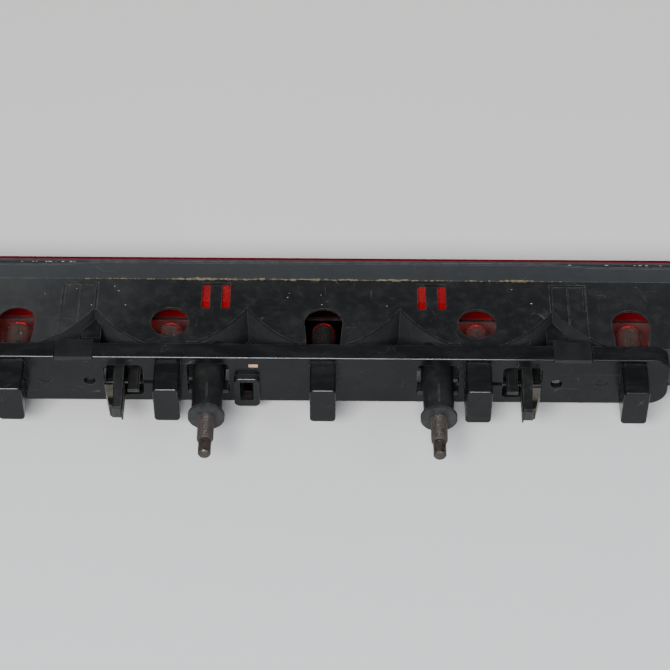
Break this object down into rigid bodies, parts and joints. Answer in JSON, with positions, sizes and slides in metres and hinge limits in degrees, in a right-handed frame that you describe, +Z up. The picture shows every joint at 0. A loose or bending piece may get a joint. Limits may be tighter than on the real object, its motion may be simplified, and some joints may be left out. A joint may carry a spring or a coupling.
{
  "type": "third brake light",
  "caption": "High-level brake light: red lens on a black housing with fixing studs and snap clips, and a clip-on carrier of wedge bulbs behind.",
  "frame": {"origin": "midway between the two fixing studs, on the plane where their sealing washers seat", "axes": "+X along the lamp, +Y out through the lens, +Z up as mounted on the vehicle"},
  "size_m": [0.307, 0.0862, 0.038],
  "materials": {
    "housing_plastic": "moulded, scuffed satin black",
    "metallised": "vacuum metallised mirror coat",
    "red_lens": "clear red moulded plastic, polished",
    "seal": "dull cured sealant",
    "stud_steel": "rusted brown steel",
    "washer": "dull dark grey",
    "clip_steel": "spring steel, lightly tarnished",
    "carrier_plastic": "gloss black with fine scratches",
    "contact_metal": "stamped copper alloy strip",
    "bulb_glass": "clear blown glass",
    "filament_metal": "bare nickel and tungsten wire"
  },
  "bodies": {
    "root": {"housing": "housing_plastic", "reflector": "metallised", "lens": "red_lens", "lens_seal": "seal", "stud_left": "stud_steel", "seal_washer_left": "washer", "clip_saddle_left": "clip_steel", "stud_right": "stud_steel", "seal_washer_right": "washer", "clip_saddle_right": "clip_steel"},
    "carrier": {"bulb_carrier": "carrier_plastic", "busbar_positive": "contact_metal", "busbar_ground": "contact_metal"},
    "latch_left": {"latch_arm_left": "housing_plastic"},
    "clip_left": {"clip_leaf_left": "clip_steel"},
    "latch_right": {"latch_arm_right": "housing_plastic"},
    "clip_right": {"clip_leaf_right": "clip_steel"},
    "bulb_1": {"bulb_glass_1": "bulb_glass", "bulb_filament_1": "filament_metal"},
    "bulb_2": {"bulb_glass_2": "bulb_glass", "bulb_filament_2": "filament_metal"},
    "bulb_3": {"bulb_glass_3": "bulb_glass", "bulb_filament_3": "filament_metal"},
    "bulb_4": {"bulb_glass_4": "bulb_glass", "bulb_filament_4": "filament_metal"},
    "bulb_5": {"bulb_glass_5": "bulb_glass", "bulb_filament_5": "filament_metal"}
  },
  "joints": [
    {"name": "carrier_release", "type": "slide", "parent": "root", "child": "carrier", "axis": [0, -1, 0], "range_m": [0, 0.03]},
    {"name": "latch_flex_left", "type": "hinge", "parent": "root", "child": "latch_left", "pos_m": [-0.0851, 0.0345, 0.0036], "axis": [-1, 0, 0], "range_deg": [0, 6], "stiffness_Nm_per_rad": 0.4},
    {"name": "clip_flex_left", "type": "hinge", "parent": "root", "child": "clip_left", "pos_m": [-0.0759, 0.0028, 0], "axis": [0, 0, -1], "range_deg": [0, 10], "stiffness_Nm_per_rad": 0.3},
    {"name": "latch_flex_right", "type": "hinge", "parent": "root", "child": "latch_right", "pos_m": [0.0851, 0.0345, 0.0036], "axis": [-1, 0, 0], "range_deg": [0, 6], "stiffness_Nm_per_rad": 0.4},
    {"name": "clip_flex_right", "type": "hinge", "parent": "root", "child": "clip_right", "pos_m": [0.0759, 0.0028, 0], "axis": [0, 0, 1], "range_deg": [0, 10], "stiffness_Nm_per_rad": 0.3},
    {"name": "bulb_pull_1", "type": "slide", "parent": "carrier", "child": "bulb_1", "axis": [0, 1, 0], "range_m": [0, 0.01]},
    {"name": "bulb_pull_2", "type": "slide", "parent": "carrier", "child": "bulb_2", "axis": [0, 1, 0], "range_m": [0, 0.01]},
    {"name": "bulb_pull_3", "type": "slide", "parent": "carrier", "child": "bulb_3", "axis": [0, 1, 0], "range_m": [0, 0.01]},
    {"name": "bulb_pull_4", "type": "slide", "parent": "carrier", "child": "bulb_4", "axis": [0, 1, 0], "range_m": [0, 0.01]},
    {"name": "bulb_pull_5", "type": "slide", "parent": "carrier", "child": "bulb_5", "axis": [0, 1, 0], "range_m": [0, 0.01]}
  ]
}
